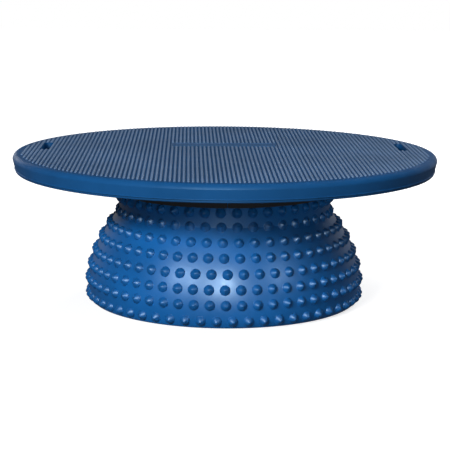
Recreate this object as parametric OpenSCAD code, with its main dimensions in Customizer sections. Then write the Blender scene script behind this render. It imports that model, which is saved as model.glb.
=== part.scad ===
// Balance dome trainer: a round ribbed deck carried by an inflated, nubbed dome.
// The origin is on the floor at the middle of the dome, +Z is up.
// The deck's ribs run along Y and its name plate and strap slots lie towards +Y.

/* [Overall] */
// Height from the floor to the top of the grip ribs
overall_h = 180; // [176:1:190]

/* [Deck] */
// Diameter of the deck at its widest
deck_d = 508; // [500:1:520]
// Thickness of the deck from the rib tops to its underside
deck_t = 21.8; // [21.6:0.1:24]
// Depth of the joint between the two deck shells below the rib tops
parting_drop = 19.4; // [18:0.1:19.6]
// Wall thickness of the deck shells
skin_t = 3.2; // [2.6:0.1:4]
// Rounding of the deck's top edge
edge_r = 6; // [4:0.5:8.5]
// How far the rim leans inwards from its widest point to the underside
rim_draft = 3; // [2:0.1:5]

/* [Grip ribs] */
// Distance from one grip rib to the next
rib_pitch = 4.9; // [4.5:0.1:6]
// Width of a grip rib
rib_w = 2.5; // [2:0.1:3]
// Height of a grip rib above the deck
rib_h = 1.2; // [0.8:0.1:1.5]
// Radius of the ribbed field
field_r = 245; // [235:1:245]

/* [Name plate] */
// Length of the blank name plate
plate_l = 132; // [110:1:140]
// Depth of the name plate from front to back
plate_w = 32; // [24:1:36]
// Distance from the middle of the deck to the middle of the plate
plate_y = 54; // [45:1:60]
// Thickness of the name plate
plate_t = 2.8; // [2.4:0.1:3]
// Height of the name plate above the tread face
plate_rise = 1; // [0.4:0.1:1.1]
// Width of the plate's sloping border
plate_slope = 4; // [2:0.5:5]

/* [Strap slots] */
// Distance from the middle of the deck to each slot
slot_x = 218; // [217.9:0.1:218.2]
// Distance from the middle of the deck back to the middle of each slot
slot_y = 38; // [30:1:44]
// Length of each slot
slot_l = 64; // [50:1:70]
// Width of each slot
slot_w = 11.6; // [10:0.1:11.8]

/* [Dome] */
// Radius of the dome's neck, without the nubs
neck_r = 128; // [120:1:130]
// Radius of the dome at its belly, without the nubs
belly_r = 164.8; // [160:0.1:170]
// Height of the belly above the floor
belly_h = 20; // [16:1:24]
// Height at which the flank runs out into the neck
flare_h = 103; // [98:1:105]
// Radius of the ring that stands on the floor
foot_r = 160.5; // [155:0.1:162]
// Wall thickness of the bladder
wall_t = 3.5; // [3:0.1:4.5]
// Height of the soft corner between flank and neck
fillet_h = 11; // [9:0.5:12]

/* [Crown clamp] */
// Outer radius of the clamp
clamp_r = 152; // [151:1:156]
// Height of the clamp below the deck
clamp_t = 10; // [9:0.5:12]
// Depth of the collar that hangs from the clamp round the neck
collar_h = 16.7; // [10:0.1:20]
// Number of screws in the clamp, an even number
clamp_count = 12; // [8:4:16]

/* [Valve] */
// Height of the valve above the floor
valve_h = 85.2; // [80:0.1:88]
// Radius of the valve's bore
valve_bore_r = 4; // [3:0.5:5]

/* [Screws] */
// Number of screws round the rim of the deck
rim_count = 12; // [8:4:12]
// Number of screws near the middle of the deck
inner_count = 6; // [4:1:8]
// Radius of a screw's shank
screw_r = 2; // [1.6:0.1:2.4]

/* [Hidden] */
$fn = 96;

// Deck levels
deck_r = deck_d / 2;
deck_z = overall_h - rib_h;             // face that the ribs stand on
under_z = overall_h - deck_t;           // underside of the deck
parting_z = overall_h - parting_drop;
rim_under_r = deck_r - rim_draft;
rim_z = deck_z - edge_r;                // widest level of the rim
rim_parting_r = deck_r - rim_draft * (rim_z - parting_z) / (rim_z - under_z);
tray_t = 3;                             // floor of the lower shell
tray_z = under_z + tray_t;
ceiling_z = deck_z - skin_t;            // inside of the upper shell
bead = 0.7;                             // raised lip along the joint of the shells
joint_gap = 0.4;                        // shadow gap between the shells
fit = 0.3;                              // clearance between pieces
slot_wall = 2.5;                        // wall round each slot, part of the upper shell
tongue_h = 3;                           // locating wall of the lower shell, above the joint

// Stiffeners and bosses inside the deck
stiff_t = 2.4;
stiff_radii = [105, 195];
spoke_count = 12;
top_boss_r = 5;
seat_boss_r = 6.5;
clamp_boss_r = 4.5;
clamp_boss_h = 11;
seat_gap = 0.2;                         // between a screw seat and the boss above it

// Screws
rim_screw_r = 236;
inner_screw_r = 84;
head_r = 4.2;
head_t = 2.6;
pilot_r = screw_r + 0.05;
pilot_h = 9;
hole_r = screw_r + 0.25;                // clearance hole
sink_h = head_t + 0.4;                  // depth of a screw head's recess
shell_screw_l = 11;
clamp_screw_l = 16;
screw_z = tray_z + 3.4;                 // where the deck's screws pass into the upper shell

// Crown of the dome
lip_r = neck_r + 11;
lip_t = 5;
crown_z = under_z - fit;
crown_t = 4;

// Clamp
clamp_inner_r = neck_r + 0.5;
collar_t = 3.4;
collar_edge_r = 1.2;
lip_gap = 0.4;                          // round the dome's lip
clamp_screw_r = (lip_r + lip_gap + clamp_r) / 2;
clamp_turn = 15;                        // turns the clamp's screws clear of the rim screws
half_gap = 0.8;                         // between the halves of the clamp

// Valve
flank_power = 1.85;                     // how the flank curves inwards above the belly
flank_curve = 0.00923;
function flank_r(h) = belly_r - flank_curve * pow(h - belly_h, flank_power);
valve_lean = atan((flank_r(valve_h - 4) - flank_r(valve_h + 4)) / 8);
seat_r = valve_bore_r + 2.5;
seat_flange_r = seat_r + 3;
seat_flange_t = 1.6;
pad_t = 2.5;                            // raised pad of the dome round the valve
seat_l = 13;
plug_r = valve_bore_r - 0.05;
plug_l = 12;
plug_head_r = seat_flange_r - 1;
plug_head_t = 1.8;
finger_bar = [plug_head_r * 1.4, 2.2, 5];

// Points of an arc about c from angle a to angle b
function arc(c, r, a, b, n) = [for (i = [0:n]) c + r * [cos(a + (b - a) * i / n), sin(a + (b - a) * i / n)]];

// Outer outline of the dome as [radius, height], from the floor to the neck, moved inwards by t
function dome_side(t) = concat(
    [for (i = [0:6]) [foot_r - t + (belly_r - foot_r) * sin(15 * i),
                      belly_h - (belly_h - t) * cos(15 * i)]],
    [for (i = [1:10]) let (h = belly_h + (flare_h - belly_h) * i / 10) [flank_r(h) - t, h]],
    [for (i = [1:4]) [neck_r - t + (flank_r(flare_h) - neck_r) * pow(1 - i / 4, 2),
                      flare_h + fillet_h * i / 4]]);

module ring_of(count, radius) {
    for (i = [0:count - 1]) rotate(i * 360 / count) translate([radius, 0, 0]) children();
}

module slots_2d(grow) {
    for (side = [-1, 1]) translate([side * slot_x, slot_y]) {
        square([slot_w + 2 * grow, slot_l - slot_w], center = true);
        for (end = [-1, 1]) translate([0, end * (slot_l - slot_w) / 2]) circle(slot_w / 2 + grow);
    }
}

module plate_2d(grow) {
    translate([0, plate_y]) square([plate_l + 2 * grow, plate_w + 2 * grow], center = true);
}

module screw(length) {
    cylinder(r = screw_r, h = length);
    translate([0, 0, -head_t]) difference() {
        cylinder(r = head_r, h = head_t);
        translate([0, 0, -1]) cylinder(r = 1.5, h = 2.4, $fn = 6);
    }
}

// Places its children at every screw that joins the two shells
module at_shell_screws() {
    ring_of(rim_count, rim_screw_r) children();
    ring_of(inner_count, inner_screw_r) children();
}

// Upper shell: tread face, rounded rim, slot walls, plate pocket and screw bosses
module deck_top() {
    lower_z = parting_z + joint_gap;
    inner_r = rim_parting_r - skin_t;
    plate_floor_z = deck_z + plate_rise - plate_t;
    color([0.09, 0.28, 0.52]) difference() {
        union() {
            rotate_extrude($fn = 180) polygon(concat(
                [[0, ceiling_z], [deck_r - edge_r - skin_t, ceiling_z], [inner_r, ceiling_z - edge_r],
                 [inner_r, lower_z], [rim_parting_r, lower_z]],
                arc([rim_parting_r, lower_z + bead], bead, -60, 60, 4),
                [[rim_parting_r, lower_z + 2.2 * bead]],
                arc([deck_r - edge_r, rim_z], edge_r, 0, 90, 8), [[0, deck_z]]));
            translate([0, 0, under_z]) linear_extrude(ceiling_z - under_z + 1) slots_2d(slot_wall);
            translate([0, 0, plate_floor_z - 2]) linear_extrude(3) plate_2d(3);
            translate([0, 0, screw_z]) at_shell_screws()
                cylinder(r = top_boss_r, h = ceiling_z - screw_z + 1, $fn = 32);
        }
        translate([0, 0, under_z - 1]) linear_extrude(deck_t + 2) slots_2d(0);
        translate([0, 0, plate_floor_z]) linear_extrude(plate_t + 1) plate_2d(0);
        translate([0, 0, screw_z - 1]) at_shell_screws() cylinder(r = pilot_r, h = pilot_h, $fn = 24);
    }
}

// Soft strips bonded to the tread face
module grip_ribs() {
    last = floor((field_r - rib_w) / rib_pitch);
    color([0.42, 0.53, 0.62]) translate([0, 0, deck_z]) linear_extrude(rib_h) difference() {
        intersection() {
            circle(field_r, $fn = 180);
            for (i = [-last:last]) translate([i * rib_pitch, 0]) square([rib_w, 2 * field_r], center = true);
        }
        plate_2d(1);
        slots_2d(0.2);
    }
}

// Blank plate with a sloping border round a shallow panel
module name_plate() {
    step = 0.01;
    panel_drop = 0.3;
    color([0.13, 0.36, 0.62]) translate([0, 0, deck_z + plate_rise - plate_t]) difference() {
        hull() {
            linear_extrude(plate_t - plate_rise) plate_2d(-fit);
            translate([0, 0, plate_t - step]) linear_extrude(step) plate_2d(-plate_slope);
        }
        translate([0, 0, plate_t - panel_drop]) linear_extrude(1) plate_2d(-plate_slope - 1.5);
    }
}

// Lower shell: floor, locating wall, stiffening ribs, screw seats and clamp bosses
module deck_bottom() {
    base_z = under_z + 1;               // inner features start inside the floor
    stiff_h = ceiling_z - seat_gap - base_z;
    inner_r = rim_parting_r - skin_t - fit;
    color([0.06, 0.2, 0.38]) difference() {
        union() {
            rotate_extrude($fn = 180) polygon([[0, under_z], [rim_under_r - 0.8, under_z],
                [rim_under_r, under_z + 0.8], [rim_parting_r - 0.4, parting_z], [inner_r, parting_z],
                [inner_r, parting_z + tongue_h], [inner_r - skin_t, parting_z + tongue_h],
                [inner_r - skin_t, tray_z], [0, tray_z]]);
            for (r = stiff_radii) translate([0, 0, base_z]) difference() {
                cylinder(r = r, h = stiff_h);
                translate([0, 0, -1]) cylinder(r = r - stiff_t, h = stiff_h + 2);
            }
            for (i = [0:spoke_count - 1]) rotate((i + 0.5) * 360 / spoke_count)
                translate([stiff_radii[0] - 1, -stiff_t / 2, base_z])
                    cube([stiff_radii[1] - stiff_radii[0], stiff_t, stiff_h]);
            rotate(clamp_turn) translate([0, 0, base_z]) ring_of(clamp_count, clamp_screw_r)
                cylinder(r = clamp_boss_r, h = tray_z + clamp_boss_h - base_z, $fn = 32);
            translate([0, 0, base_z]) at_shell_screws()
                cylinder(r = seat_boss_r, h = screw_z - seat_gap - base_z, $fn = 32);
        }
        translate([0, 0, under_z - 1]) linear_extrude(deck_t) slots_2d(slot_wall + fit);
        translate([0, 0, under_z - 1]) at_shell_screws() {
            cylinder(r = head_r + fit, h = sink_h + 1, $fn = 32);
            cylinder(r = hole_r, h = deck_t, $fn = 24);
        }
        rotate(clamp_turn) translate([0, 0, under_z - 1]) ring_of(clamp_count, clamp_screw_r)
            cylinder(r = pilot_r, h = tray_t + clamp_boss_h, $fn = 24);
    }
}

// Screws that join the two shells round the rim
module rim_screws() {
    color([0.7, 0.7, 0.72]) translate([0, 0, under_z + sink_h])
        ring_of(rim_count, rim_screw_r) screw(shell_screw_l, $fn = 24);
}

// Screws that join the two shells near the middle
module inner_screws() {
    color([0.7, 0.7, 0.72]) translate([0, 0, under_z + sink_h])
        ring_of(inner_count, inner_screw_r) screw(shell_screw_l, $fn = 24);
}

// The clamp holds the dome's lip against the deck, with a collar round the neck
module clamp() {
    low = under_z - clamp_t;
    shelf = crown_z - lip_t - fit;
    collar_r = clamp_inner_r + collar_t;
    lowest = low - collar_h;
    difference() {
        rotate_extrude($fn = 120) polygon(concat([[clamp_inner_r, lowest]],
            arc([collar_r - collar_edge_r, lowest + collar_edge_r], collar_edge_r, -90, 0, 4),
            [[collar_r, low - 3], [collar_r + 3, low], [clamp_r - 2, low], [clamp_r, low + 2],
             [clamp_r, under_z], [lip_r + lip_gap, under_z], [lip_r + lip_gap, shelf],
             [clamp_inner_r, shelf]]));
        translate([0, 0, low - 1]) ring_of(clamp_count, clamp_screw_r) {
            cylinder(r = head_r + fit, h = sink_h + 1, $fn = 32);
            cylinder(r = hole_r, h = clamp_t + 2, $fn = 24);
        }
    }
}

module clamp_half(side) {
    intersection() {
        rotate(clamp_turn) clamp();
        translate([side * (deck_r + half_gap / 2), 0, under_z])
            cube([2 * deck_r, 2 * deck_r, 4 * (clamp_t + collar_h)], center = true);
    }
}

module clamp_half_left() {
    color([0.05, 0.12, 0.2]) clamp_half(-1);
}

module clamp_half_right() {
    color([0.05, 0.12, 0.2]) clamp_half(1);
}

module clamp_screws() {
    color([0.7, 0.7, 0.72]) rotate(clamp_turn) translate([0, 0, under_z - clamp_t + sink_h])
        ring_of(clamp_count, clamp_screw_r) screw(clamp_screw_l, $fn = 24);
}

// Places its children on the dome's flank at the back, with +Z out of the wall
module at_valve() {
    translate([0, flank_r(valve_h), valve_h]) rotate([valve_lean - 90, 0, 0]) children();
}

// Hollow air bladder with a solid lip at its crown and a pad round its valve
module dome_bladder() {
    inner_top = crown_z - crown_t;
    difference() {
        color([0.05, 0.32, 0.62]) union() {
            rotate_extrude($fn = 120) polygon(concat([[0, 0]], dome_side(0),
                [[neck_r, crown_z - lip_t], [lip_r, crown_z - lip_t], [lip_r, crown_z], [0, crown_z]]));
            at_valve() translate([0, 0, -wall_t]) cylinder(r = seat_flange_r + 2, h = wall_t + pad_t, $fn = 64);
        }
        rotate_extrude($fn = 120) polygon(concat([[0, wall_t]], dome_side(wall_t),
            [[neck_r - wall_t, inner_top], [0, inner_top]]));
        at_valve() translate([0, 0, -seat_l]) cylinder(r = seat_r + fit, h = 2 * seat_l, $fn = 64);
    }
}

// Stiff collar in the dome's wall that the plug closes
module valve_seat() {
    color([0.04, 0.1, 0.18]) at_valve() difference() {
        union() {
            translate([0, 0, pad_t + fit]) cylinder(r = seat_flange_r, h = seat_flange_t, $fn = 64);
            translate([0, 0, pad_t + fit + seat_flange_t - seat_l]) cylinder(r = seat_r, h = seat_l, $fn = 64);
        }
        translate([0, 0, -seat_l]) cylinder(r = valve_bore_r, h = 2 * seat_l, $fn = 64);
    }
}

// Pull-out plug with a finger bar across its head
module valve_plug() {
    top = pad_t + fit + seat_flange_t;
    color([0.8, 0.82, 0.84]) at_valve() {
        translate([0, 0, top - plug_l]) cylinder(r = plug_r, h = plug_l + 0.5, $fn = 64);
        translate([0, 0, top + 0.05]) cylinder(r = plug_head_r, h = plug_head_t, $fn = 64);
        translate([-finger_bar.x / 2, -finger_bar.y / 2, top + 1]) cube(finger_bar);
    }
}

deck_top();
grip_ribs();
name_plate();
deck_bottom();
rim_screws();
inner_screws();
clamp_half_left();
clamp_half_right();
clamp_screws();
dome_bladder();
valve_seat();
valve_plug();
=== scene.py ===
"""Balance dome trainer: the looks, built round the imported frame. Lengths are in metres."""

import math

import bmesh
import bpy
import numpy as np
from mathutils import Matrix, Vector


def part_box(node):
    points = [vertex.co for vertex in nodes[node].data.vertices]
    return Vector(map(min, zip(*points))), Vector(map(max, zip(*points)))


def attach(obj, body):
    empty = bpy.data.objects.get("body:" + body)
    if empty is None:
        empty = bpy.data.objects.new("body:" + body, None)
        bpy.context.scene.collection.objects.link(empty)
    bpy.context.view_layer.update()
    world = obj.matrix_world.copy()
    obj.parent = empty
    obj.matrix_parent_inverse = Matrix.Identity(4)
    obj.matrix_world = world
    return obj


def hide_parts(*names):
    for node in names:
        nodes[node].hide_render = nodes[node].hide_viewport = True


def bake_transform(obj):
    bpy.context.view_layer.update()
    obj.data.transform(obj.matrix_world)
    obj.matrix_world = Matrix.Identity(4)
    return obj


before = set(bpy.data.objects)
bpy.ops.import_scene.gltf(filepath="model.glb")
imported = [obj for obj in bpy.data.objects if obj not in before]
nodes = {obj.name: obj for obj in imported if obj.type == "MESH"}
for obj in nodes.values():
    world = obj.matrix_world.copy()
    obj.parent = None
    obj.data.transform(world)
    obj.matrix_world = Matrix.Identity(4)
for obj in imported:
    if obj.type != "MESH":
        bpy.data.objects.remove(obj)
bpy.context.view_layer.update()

# ---- Sizes worked out from the frame ----

ribs_lo, ribs_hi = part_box("grip_ribs")
plate_lo, plate_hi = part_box("name_plate")

TOP_Z = ribs_hi.z
DECK_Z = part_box("deck_top")[1].z        # face that the ribs stand on
FIELD_R = ribs_hi.y
RIB_H = ribs_hi.z - ribs_lo.z
BELLY_R, _, DOME_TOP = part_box("dome_bladder")[1]

# ---- Sizes that the CAD model shares ----

RIB_PITCH = 0.0049
RIB_W = 0.0025
SLOT_X = 0.218
SLOT_Y = 0.038
SLOT_L = 0.064
SLOT_W = 0.0116

NECK_R = 0.128
BELLY_H = 0.020
FLANK_CURVE = 0.00923                   # the flank draws in by this, in mm, times ...
FLANK_POWER = 1.85                      # ... this power of the height over the belly, in mm
FOOT_R = 0.1605
LIP_R = NECK_R + 0.011
LIP_T = 0.005
SEAM_H = 0.0852                         # height of the tilt joints and of the valve

# ---- Sizes of the visual model alone ----

FLARE_H = 0.1083                        # crease between flank and neck, which the CAD model rounds
PLATE_GAP = 0.001                       # between the ribs' ends and the name plate
SLOT_GAP = 0.0002                       # between the ribs' ends and a strap slot
DOME_STEPS = 240                        # steps round the dome
SEAM_CLEAR = 0.0005                     # no ring of the wall lies closer to the seam than this
FLOOR_CLEAR = 0.0001                    # least height of a nub over the floor

VALVE_CLEAR = 0.0185                    # no nub's middle lies closer to the valve than this
VALVE_HOLE_R = 0.0067
VALVE_PAD_R = 0.0115
VALVE_PAD_T = 0.0025

UNDERSIDE_Z = 0.0018                    # face of the dome inside the ring that it stands on
FLOOR_RING_R = 0.142                    # inner radius of that ring, and ...
FLOOR_RING_SLOPE = 0.006                # ... the width of the slope up to the face
RING_RADII = (0.030, 0.060, 0.090, 0.118)
RING_Z = 0.0004                         # the moulded rings' own faces
RING_HALF = 0.0015                      # half the width of a ring, and of ...
RING_FOOT = 0.003                       # ... a ring with its slopes

# Rows of nubs up the dome: height, number round the dome, turn of the first one in steps from the front
NUB_ROWS = [(0.0085, 57, 0.32), (0.0268, 57, 0.89), (0.0439, 56, 0.84), (0.0606, 54, 0.00),
            (0.0774, 52, 0.78), (0.0931, 48, 0.70), (0.1088, 44, 0.63), (0.1254, 44, 0.59)]
# A nub's profile as arcs, from its tip outwards: radius, and the slope where the arc ends in degrees
NUB_ARCS = [(0.0021, 30), (0.0165, 50), (0.0026, 78)]
NUB_FOOT = 0.0002                       # soft foot where a nub runs out into the wall
NUB_SINK = 0.00004                      # its outer edge lies this deep in the wall

# Section of a grip rib, in half widths and in heights
RIB_SECTION = [(-1.0, 0.0), (-0.94, 0.5), (-0.72, 0.85), (-0.3, 1.0),
               (0.3, 1.0), (0.72, 0.85), (0.94, 0.5), (1.0, 0.0)]

FLOOR_Z = -0.0002                       # just clear of the dome's foot
FLOOR_HALF = 6.0
FILL = 0.07                             # light from all round


# ---- Node helpers for materials ----

class Shader:
    """A material with a Principled shader, and short calls for the nodes in front of it."""

    def __init__(self, name, **inputs):
        self.material = bpy.data.materials.new(name)
        self.material.use_nodes = True
        self.tree = self.material.node_tree
        self.tree.nodes.clear()
        out = self.tree.nodes.new("ShaderNodeOutputMaterial")
        self.bsdf = self.tree.nodes.new("ShaderNodeBsdfPrincipled")
        self.link(self.bsdf.outputs[0], out.inputs["Surface"])
        for key, value in inputs.items():
            self.bsdf.inputs[key.replace("_", " ")].default_value = value
        self.place = self.tree.nodes.new("ShaderNodeTexCoord").outputs["Object"]

    def link(self, a, b):
        self.tree.links.new(a, b)

    def stretched(self, scale):
        """The frame's coordinates, each times its own number of scale."""
        node = self.tree.nodes.new("ShaderNodeMapping")
        node.inputs["Scale"].default_value = scale
        self.link(self.place, node.inputs["Vector"])
        return node.outputs[0]

    def noise(self, scale, detail=3.0, roughness=0.55, vector=None):
        node = self.tree.nodes.new("ShaderNodeTexNoise")
        node.inputs["Scale"].default_value = scale
        node.inputs["Detail"].default_value = detail
        node.inputs["Roughness"].default_value = roughness
        self.link(vector or self.place, node.inputs["Vector"])
        return node.outputs["Fac"]

    def ramp(self, value, low, high, out_low, out_high):
        """A value between low and high, brought to the range from out_low to out_high."""
        node = self.tree.nodes.new("ShaderNodeMapRange")
        node.inputs["From Min"].default_value = low
        node.inputs["From Max"].default_value = high
        node.inputs["To Min"].default_value = out_low
        node.inputs["To Max"].default_value = out_high
        self.link(value, node.inputs["Value"])
        return node.outputs[0]

    def colours(self, value, *stops):
        """A blend of colours, each stop being (value, colour)."""
        node = self.tree.nodes.new("ShaderNodeValToRGB")
        ramp = node.color_ramp
        while len(ramp.elements) < len(stops):
            ramp.elements.new(0.5)
        for element, (at, colour) in zip(ramp.elements, stops):
            element.position = at
            element.color = (*colour, 1.0)
        self.link(value, node.inputs["Fac"])
        return node.outputs["Color"]

    def distance(self):
        """Distance from the frame's Z axis."""
        node = self.tree.nodes.new("ShaderNodeVectorMath")
        node.operation = "LENGTH"
        self.link(self.stretched((1.0, 1.0, 0.0)), node.inputs[0])
        return node.outputs["Value"]

    def bump(self, *layers):
        """Relief from layers of (value, depth in metres)."""
        normal = None
        for value, depth in layers:
            node = self.tree.nodes.new("ShaderNodeBump")
            node.inputs["Strength"].default_value = 1.0
            node.inputs["Distance"].default_value = depth
            self.link(value, node.inputs["Height"])
            if normal:
                self.link(normal, node.inputs["Normal"])
            normal = node.outputs[0]
        self.link(normal, self.bsdf.inputs["Normal"])

    def set(self, name, value):
        self.link(value, self.bsdf.inputs[name])


def shade(colour, factor):
    """A colour made lighter or darker."""
    return tuple(c * factor for c in colour)


def moulded_plastic(name, colour, roughness, grain=2600.0, tint=(0.6, 0.8, 1.0)):
    """Moulded plastic: a fine grain in the surface, faint clouds in the colour, uneven gloss."""
    s = Shader(name, IOR=1.48, Specular_Tint=(*tint, 1.0))
    clouds = s.noise(14.0, 4.0)
    s.set("Base Color", s.colours(clouds, (0.3, shade(colour, 0.88)), (0.7, shade(colour, 1.12))))
    s.set("Roughness", s.ramp(s.noise(60.0, 5.0), 0.3, 0.7, roughness - 0.05, roughness + 0.06))
    s.bump((s.noise(grain, 2.0), 0.00002), (s.noise(35.0, 2.0), 0.00008))
    return s.material


def dome_vinyl(name, roughness, blue):
    """Soft glossy vinyl, with flow marks and a slight orange peel."""
    s = Shader(name, IOR=1.50, Specular_Tint=(0.58, 0.80, 1.0, 1.0))
    clouds = s.noise(9.0, 5.0, vector=s.stretched((1.0, 1.0, 2.2)))
    s.set("Base Color", s.colours(clouds, (0.3, shade(blue, 0.86)), (0.72, shade(blue, 1.16))))
    s.set("Roughness", s.ramp(s.noise(45.0, 5.0), 0.3, 0.7, roughness - 0.04, roughness + 0.05))
    s.bump((s.noise(520.0, 2.0), 0.00003), (s.noise(70.0, 2.0), 0.00012))
    return s.material


def brushed_steel():
    """Steel with a grain drawn out along X and Z."""
    s = Shader("brushed_steel", Metallic=1.0)
    grain = s.noise(900.0, 4.0, vector=s.stretched((1.0, 8.0, 1.0)))
    s.set("Base Color", s.colours(grain, (0.35, (0.46, 0.47, 0.49)), (0.7, (0.66, 0.67, 0.69))))
    s.set("Roughness", s.ramp(grain, 0.3, 0.7, 0.24, 0.42))
    s.bump((grain, 0.00001))
    return s.material


# ---- Mesh helpers ----

def new_piece(name, vertices, faces, material, smooth_angle=38.0):
    """A new object with the mesh and the material, in the scene."""
    mesh = bpy.data.meshes.new(name)
    mesh.from_pydata([tuple(v) for v in vertices], [], faces)
    mesh.validate()
    piece = bpy.data.objects.new(name, mesh)
    bpy.context.scene.collection.objects.link(piece)
    finish_mesh(piece, material, smooth_angle)
    return piece


def finish_mesh(piece, material, smooth_angle):
    """Outward normals, smooth shading with sharp edges over the given angle, and one material."""
    bm = bmesh.new()
    bm.from_mesh(piece.data)
    bmesh.ops.remove_doubles(bm, verts=bm.verts, dist=1e-7)
    bmesh.ops.recalc_face_normals(bm, faces=bm.faces)
    limit = math.radians(smooth_angle)
    for face in bm.faces:
        face.smooth = True
    for edge in bm.edges:
        edge.smooth = len(edge.link_faces) == 2 and edge.calc_face_angle(0.0) < limit
    bm.to_mesh(piece.data)
    bm.free()
    piece.data.materials.clear()
    piece.data.materials.append(material)


def revolve(outline, steps):
    """Vertices and faces of an outline of (radius, height) turned about Z. Points at radius 0 are poles."""
    vertices, rings = [], []
    for radius, height in outline:
        count = 1 if radius < 1e-9 else steps
        rings.append(list(range(len(vertices), len(vertices) + count)))
        for k in range(count):
            turn = 2 * math.pi * k / steps
            vertices.append((radius * math.sin(turn), -radius * math.cos(turn), height))
    faces = []
    for low, high in zip(rings, rings[1:]):
        for k in range(steps):
            n = (k + 1) % steps
            if len(low) == 1 and len(high) == 1:
                continue
            if len(low) == 1:
                faces.append((low[0], high[n], high[k]))
            elif len(high) == 1:
                faces.append((low[k], low[n], high[0]))
            else:
                faces.append((low[k], low[n], high[n], high[k]))
    return vertices, faces


def arc(centre, radius, start, end, steps):
    """Points of an arc, from angle start to angle end in degrees."""
    turns = [math.radians(start + (end - start) * i / steps) for i in range(steps + 1)]
    return [(centre[0] + radius * math.cos(t), centre[1] + radius * math.sin(t)) for t in turns]


# ---- Dome ----

def flank_radius(height):
    """Radius of the dome's wall between belly and neck."""
    return BELLY_R - FLANK_CURVE * (1000 * (height - BELLY_H)) ** FLANK_POWER / 1000


def dome_outline():
    """The dome's wall as (radius, height), from the floor ring up to the lip."""
    foot = [(FOOT_R + (BELLY_R - FOOT_R) * math.sin(t), BELLY_H - BELLY_H * math.cos(t))
            for t in np.linspace(0, math.pi / 2, 12)]
    flank = [(flank_radius(h), h) for h in np.linspace(BELLY_H, FLARE_H, 52)[1:]]
    neck = [(NECK_R, h) for h in np.linspace(FLARE_H, DOME_TOP - LIP_T, 24)[1:]]
    return foot + flank + neck


class Wall:
    """The dome's wall, addressed by the length along its outline."""

    def __init__(self, outline):
        self.points = np.array(outline)
        steps = np.linalg.norm(np.diff(self.points, axis=0), axis=1)
        self.lengths = np.concatenate([[0], np.cumsum(steps)])
        slope = np.gradient(self.points, self.lengths, axis=0)
        slope /= np.linalg.norm(slope, axis=1)[:, None]
        self.normals = np.stack([slope[:, 1], -slope[:, 0]], 1)

    def at_height(self, height):
        """Length along the outline at which the wall has the height."""
        return float(np.interp(height, self.points[:, 1], self.lengths))

    def point(self, length, turn, out):
        """Point at a length along the outline, turned from the front, and out from the wall."""
        radius, height = (np.interp(length, self.lengths, self.points[:, i]) for i in (0, 1))
        across, up = (np.interp(length, self.lengths, self.normals[:, i]) for i in (0, 1))
        radius = radius + out * across
        height = np.maximum(height + out * up, FLOOR_CLEAR)
        return np.stack([radius * np.sin(turn), -radius * np.cos(turn), height], -1)


def nub_profile():
    """Distance from a nub's middle and height above the wall: a small round tip on a steep, full flank."""
    distance, drop, slope = 0.0, 0.0, 0.0
    points = [(distance, drop)]
    for radius, end in NUB_ARCS:
        end = math.radians(end)
        steps = 3
        for i in range(steps):
            low = slope + (end - slope) * i / steps
            high = slope + (end - slope) * (i + 1) / steps
            distance += radius * (math.sin(high) - math.sin(low))
            drop += radius * (math.cos(low) - math.cos(high))
            points.append((distance, drop))
        slope = end
    height = drop + 0.25 * NUB_FOOT
    cap = [(d, height - z) for d, z in points]
    x, y = cap[-1]
    foot = [(x + NUB_FOOT * t, y * (1 - t) ** 2 - NUB_SINK * t) for t in (0.4, 1.0)]
    return cap + foot


def nub(wall, height, turn, steps=20):
    """One nub on the wall."""
    rings = nub_profile()
    middle = wall.at_height(height)
    radius = float(np.interp(middle, wall.lengths, wall.points[:, 0]))
    around = np.linspace(0, 2 * math.pi, steps, endpoint=False)
    vertices = [wall.point(middle, turn, rings[0][1])]
    for distance, out in rings[1:]:
        along = middle + distance * np.sin(around)
        vertices.extend(wall.point(along, turn + distance * np.cos(around) / radius, out))
    faces = [(0, 1 + k, 1 + (k + 1) % steps) for k in range(steps)]
    for ring in range(len(rings) - 2):
        low, high = 1 + ring * steps, 1 + (ring + 1) * steps
        faces += [(low + k, high + k, high + (k + 1) % steps, low + (k + 1) % steps)
                  for k in range(steps)]
    return vertices, faces


def joined(parts):
    """Several parts of (vertices, faces) as one."""
    vertices, faces = [], []
    for more, shapes in parts:
        base = len(vertices)
        vertices.extend(more)
        faces.extend(tuple(base + i for i in shape) for shape in shapes)
    return vertices, faces


def valve_frame():
    """Placement on the wall at the valve, its Z axis square to the wall."""
    reach = 0.004
    drop = flank_radius(SEAM_H - reach) - flank_radius(SEAM_H + reach)
    lean = math.atan(drop / (2 * reach))
    return (Matrix.Translation((0, flank_radius(SEAM_H), SEAM_H))
            @ Matrix.Rotation(lean - math.pi / 2, 4, "X"))


def without_valve_hole(walls):
    """The wall's faces without those that lie in the valve's hole; the pad covers the edge left."""
    vertices, faces = walls
    back = valve_frame().inverted()
    reach, depth = VALVE_HOLE_R + 0.001, 0.01

    def in_hole(face):
        x, y, z = back @ (sum((Vector(vertices[i]) for i in face), Vector()) / len(face))
        return math.hypot(x, y) < reach and abs(z) < depth

    return vertices, [face for face in faces if not in_hole(face)]


def build_valve_pad(vinyl):
    """Raised pad of the dome round the valve, with its hole."""
    top, edge = VALVE_PAD_T, 0.0008
    outline = ([(VALVE_HOLE_R, -0.006), (VALVE_PAD_R, -0.004)]
               + arc((VALVE_PAD_R - edge, top - edge), edge, 0, 90, 4) + [(VALVE_HOLE_R, top)])
    vertices, faces = revolve(outline + outline[:1], 64)
    place = valve_frame()
    pad = new_piece("valve_pad", [place @ Vector(v) for v in vertices], faces, vinyl)
    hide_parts("dome_bladder")
    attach(pad, "mid_wall")


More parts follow.
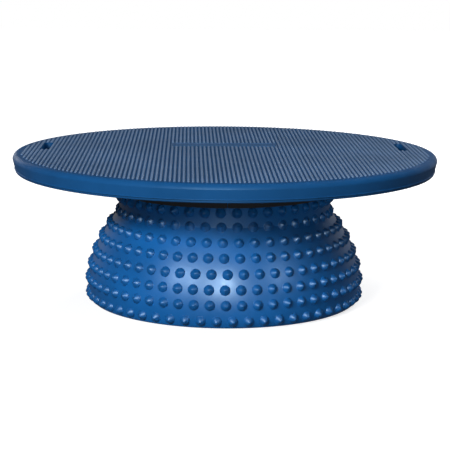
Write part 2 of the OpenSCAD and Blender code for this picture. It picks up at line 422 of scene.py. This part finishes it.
def dome_nubs(wall, lowest, highest):
    """All the nubs between two heights, apart from those too near the valve."""
    valve = np.array([0.0, flank_radius(SEAM_H), SEAM_H])
    made = []
    for height, count, first in NUB_ROWS:
        if not lowest < height < highest:
            continue
        for k in range(count):
            turn = (k + first) * 2 * math.pi / count
            middle = wall.point(wall.at_height(height), turn, 0.0)
            if np.linalg.norm(middle - valve) > VALVE_CLEAR:
                made.append(nub(wall, height, turn))
    return made


def underside_outline():
    """The dome's floor face as (radius, height), from its middle to the floor ring: shallow moulded rings."""
    points = [(0.0, UNDERSIDE_Z)]
    for radius in RING_RADII:
        points += [(radius - RING_FOOT, UNDERSIDE_Z), (radius - RING_HALF, RING_Z),
                   (radius + RING_HALF, RING_Z), (radius + RING_FOOT, UNDERSIDE_Z)]
    return points + [(FLOOR_RING_R - FLOOR_RING_SLOPE, UNDERSIDE_Z), (FLOOR_RING_R, 0.0)]


def build_dome():
    """The dome in two pieces that meet at the height of the tilt joints, between two rows of nubs."""
    blue = (0.004, 0.10, 0.33)
    wall_vinyl = dome_vinyl("dome_vinyl", 0.37, blue)
    # The nubs get the wall's vinyl in a darker blue: painted shade for the darkness of their steep sides.
    shaded_nub_vinyl = dome_vinyl("shaded_nub_vinyl", 0.40, shade(blue, 0.9))
    outline = dome_outline()
    wall = Wall(outline)
    seam = (flank_radius(SEAM_H), SEAM_H)
    low = underside_outline() + [p for p in outline if p[1] < SEAM_H - SEAM_CLEAR] + [seam]
    high = [seam] + [p for p in outline if p[1] > SEAM_H + SEAM_CLEAR]
    high += [(LIP_R, DOME_TOP - LIP_T), (LIP_R, DOME_TOP), (0.0, DOME_TOP)]
    pieces = []
    for name, shell, lowest, highest in (("dome_lower", low, 0.0, SEAM_H),
                                         ("dome_upper", high, SEAM_H, DOME_TOP)):
        walls = without_valve_hole(revolve(shell, DOME_STEPS))
        shapes = joined([walls] + dome_nubs(wall, lowest, highest))
        piece = new_piece(name, *shapes, wall_vinyl, smooth_angle=30.0)
        piece.data.materials.append(shaded_nub_vinyl)
        for face in piece.data.polygons[len(walls[1]):]:
            face.material_index = 1
        pieces.append(piece)
    lower, upper = pieces
    for piece in pieces:
        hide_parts("dome_bladder")
    build_valve_pad(wall_vinyl)
    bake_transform(lower)
    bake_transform(upper)


# ---- Deck ----

def rib_stretches(x):
    """The stretches of y that a rib at x covers: the field, without the plate and the slots."""
    reach = math.sqrt(max(FIELD_R ** 2 - (abs(x) + RIB_W / 2) ** 2, 0.0))
    gaps = []
    if plate_lo.x - PLATE_GAP - RIB_W / 2 < x < plate_hi.x + PLATE_GAP + RIB_W / 2:
        gaps.append((plate_lo.y - PLATE_GAP, plate_hi.y + PLATE_GAP))
    across = SLOT_W / 2 + SLOT_GAP + RIB_W / 2
    if abs(abs(x) - SLOT_X) < across:
        bulge = math.sqrt(across ** 2 - (abs(x) - SLOT_X) ** 2)
        half = (SLOT_L - SLOT_W) / 2 + bulge
        gaps.append((SLOT_Y - half, SLOT_Y + half))
    stretches, start = [], -reach
    for low, high in gaps:
        stretches.append((start, low))
        start = high
    stretches.append((start, reach))
    return [(a, b) for a, b in stretches if b - a > 2 * RIB_W]


def rib(x, start, end):
    """One grip rib: a soft strip with a rounded back and rounded ends."""
    half = RIB_W / 2
    stations = [(start + half * (1 - math.cos(t)), max(math.sin(t), 0.12))
                for t in np.linspace(0, math.pi / 2, 4)]
    stations += [(start + end - y, size) for y, size in reversed(stations)]
    vertices = []
    for y, size in stations:
        vertices += [(x + half * across * size, y, DECK_Z + RIB_H * up * (0.45 + 0.55 * size))
                     for across, up in RIB_SECTION]
    n = len(RIB_SECTION)
    faces = []
    for s in range(len(stations) - 1):
        for k in range(n):
            a, b = s * n + k, s * n + (k + 1) % n
            faces.append((a, b, b + n, a + n))
    faces += [tuple(range(n)), tuple(range(len(vertices) - n, len(vertices)))[::-1]]
    return vertices, faces


def build_ribs():
    """The ribs as one piece, side by side at one pitch, with one on the middle line."""
    last = math.floor((FIELD_R - RIB_W) / RIB_PITCH)
    places = [i * RIB_PITCH for i in range(-last, last + 1)]
    parts = [rib(x, start, end) for x in places for start, end in rib_stretches(x)]
    material = moulded_plastic("rib_rubber", (0.132, 0.212, 0.350), 0.60, grain=1800.0)
    piece = new_piece("tread_ribs", *joined(parts), material, smooth_angle=60.0)
    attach(piece, "platform")
    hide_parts("grip_ribs")


# ---- Materials of the CAD pieces that keep their shape ----

def dress(node, material):
    """One material all over a CAD piece."""
    for slot in nodes[node].material_slots:
        slot.material = material


def dress_cad_pieces():
    """The two shells, the plate, the clamp, the screws and the valve."""
    navy = (0.008, 0.078, 0.235)
    dress("deck_top", moulded_plastic("deck_plastic", shade(navy, 0.80), 0.44, tint=(0.4, 0.75, 1.0)))
    # The lower shell takes the deck's navy darkened to 0.62: painted shade under the rim's lower edge.
    dress("deck_bottom", moulded_plastic("shaded_tray_plastic", shade(navy, 0.62), 0.46, tint=(0.4, 0.75, 1.0)))
    dress("name_plate", moulded_plastic("plate_plastic", (0.03, 0.10, 0.24), 0.36))
    clamp = moulded_plastic("clamp_plastic", (0.024, 0.025, 0.028), 0.5, tint=(1.0, 1.0, 1.0))
    dress("clamp_half_left", clamp)
    dress("clamp_half_right", clamp)
    steel = brushed_steel()
    for node in ("rim_screws", "inner_screws", "clamp_screws"):
        dress(node, steel)
    dress("valve_seat", moulded_plastic("valve_rubber", (0.012, 0.03, 0.06), 0.5))
    dress("valve_plug", moulded_plastic("plug_plastic", (0.55, 0.58, 0.62), 0.3))


# ---- Camera, floor and light ----

def build_camera():
    """A long lens a little above the deck. The angles are in radians."""
    pitch, yaw, roll = 0.1872, 0.0264, 0.0077
    lens, sensor = 116.2, 36.0
    place = Vector((-0.04524, -1.73906, TOP_Z + 0.23731))
    ahead = Vector((math.sin(yaw) * math.cos(pitch), math.cos(yaw) * math.cos(pitch), -math.sin(pitch)))
    right = Vector((math.cos(yaw), -math.sin(yaw), 0.0))
    up = right.cross(ahead)
    right, up = (right * math.cos(roll) + up * math.sin(roll),
                 up * math.cos(roll) - right * math.sin(roll))
    data = bpy.data.cameras.new("camera")
    data.sensor_width = sensor
    data.lens = lens
    camera = bpy.data.objects.new("camera", data)
    camera.matrix_world = Matrix.Translation(place) @ Matrix((right, up, -ahead)).transposed().to_4x4()
    bpy.context.scene.collection.objects.link(camera)
    bpy.context.scene.camera = camera


# A lamp of the kind "light" leaves no gleam, and one of the kind "gleam" does nothing else. One with a group
# falls on that group alone. All point at the object's middle, but those for the dome alone at its belly.
MIDDLE, BELLY = (0.0, 0.0, 0.10), (0.0, 0.0, 0.08)
LIGHT_GROUPS = {"deck": ("deck_top", "deck_bottom", "name_plate"),
                "tread": ("deck_top", "name_plate", "tread_ribs"),
                "dome": ("dome_lower", "dome_upper", "valve_pad", "valve_plug")}
LIGHTS = [  # name, kind, group, place, target, size, power in watts
    ("front_left", "light", None, (-1.1, -1.9, 1.08), MIDDLE, (1.0, 0.4), 52.0),
    ("low_front", "light", None, (0.3, -2.2, 0.25), MIDDLE, (1.2, 0.3), 9.0),
    ("top", "light", None, (0.9, 0.1, 1.7), MIDDLE, (1.0, 1.0), 11.5),
    ("rear", "light", None, (1.3, 1.9, 0.9), MIDDLE, (1.4, 0.8), 26.0),
    ("back_left", "gleam", None, (-1.2, 1.7, 0.35), MIDDLE, (1.6, 1.0), 1.4),
    ("back_right", "gleam", None, (1.2, 1.7, 0.35), MIDDLE, (1.6, 1.0), 1.4),
    ("rim_light", "light", "deck", (-0.6, -2.2, 0.12), MIDDLE, (1.4, 0.3), 12.0),
    ("edge_gleam", "gleam", "deck", (-0.3, -2.2, 0.45), MIDDLE, (0.9, 0.2), 24.0),
    ("back_gleam", "gleam", "tread", (-1.1, 2.2, 0.55), MIDDLE, (0.8, 0.4), 2.2),
    ("key_gleam", "gleam", "dome", (-0.12, -2.25, 0.82), BELLY, (0.5, 0.4), 74.0),
    ("side_gleam", "gleam", "dome", (-1.30, -1.80, 1.00), BELLY, (0.8, 0.5), 44.0),
    ("right_gleam", "gleam", "dome", (1.60, -1.55, 1.00), BELLY, (0.5, 0.5), 14.0),
    ("rear_gleam", "gleam", "dome", (0.4, 2.2, 0.85), BELLY, (1.0, 0.6), 5.0)]


def area_light(name, kind, only, place, target, size, power):
    """A soft light. "only" is the collection that it falls on, or None for everything."""
    data = bpy.data.lights.new(name, "AREA")
    data.shape = "RECTANGLE"
    data.size, data.size_y = size
    data.energy = power
    lamp = bpy.data.objects.new(name, data)
    lamp.location = place
    lamp.rotation_euler = (Vector(target) - Vector(place)).to_track_quat("-Z", "Y").to_euler()
    lamp.visible_glossy = kind == "gleam"
    lamp.visible_diffuse = kind == "light"
    if only:
        lamp.light_linking.receiver_collection = only
    bpy.context.scene.collection.objects.link(lamp)


def group(name, pieces):
    """A collection that a light can be kept to."""
    made = bpy.data.collections.new(name)
    for piece in pieces:
        made.objects.link(bpy.data.objects[piece])
    return made


def build_studio():
    """White all round to the eye, a dim fill, and soft lights: some only light, some only gleam."""
    scene = bpy.context.scene
    scene.view_settings.view_transform = "Standard"
    world = bpy.data.worlds.new("studio")
    world.use_nodes = True
    tree = world.node_tree
    seen = tree.nodes.new("ShaderNodeLightPath")
    level = tree.nodes.new("ShaderNodeMapRange")
    level.inputs["To Min"].default_value = FILL
    level.inputs["To Max"].default_value = 1.0
    tree.links.new(seen.outputs["Is Camera Ray"], level.inputs["Value"])
    background = tree.nodes["Background"]
    background.inputs["Color"].default_value = (1.0, 1.0, 1.0, 1.0)
    tree.links.new(level.outputs[0], background.inputs["Strength"])
    scene.world = world
    groups = {name: group(name, pieces) for name, pieces in LIGHT_GROUPS.items()}
    for name, kind, only, *numbers in LIGHTS:
        area_light(name, kind, groups.get(only), *numbers)
    corners = [(x * FLOOR_HALF, y * FLOOR_HALF, FLOOR_Z) for x, y in ((-1, -1), (1, -1), (1, 1), (-1, 1))]
    floor = new_piece("floor", corners, [(0, 1, 2, 3)], floor_paper())
    floor.visible_diffuse = False
    floor.visible_glossy = False


def floor_paper():
    """Pale paper that glows more and more away from the object, so that it meets the white behind it."""
    s = Shader("floor_paper", Roughness=0.9, Emission_Color=(1.0, 1.0, 1.0, 1.0))
    s.set("Emission Strength", s.ramp(s.distance(), 0.2, 0.9, 0.72, 0.98))
    s.set("Base Color", s.colours(s.noise(6.0), (0.3, (0.55, 0.55, 0.55)), (0.7, (0.6, 0.6, 0.6))))
    return s.material


dress_cad_pieces()
build_dome()
build_ribs()
build_camera()
build_studio()
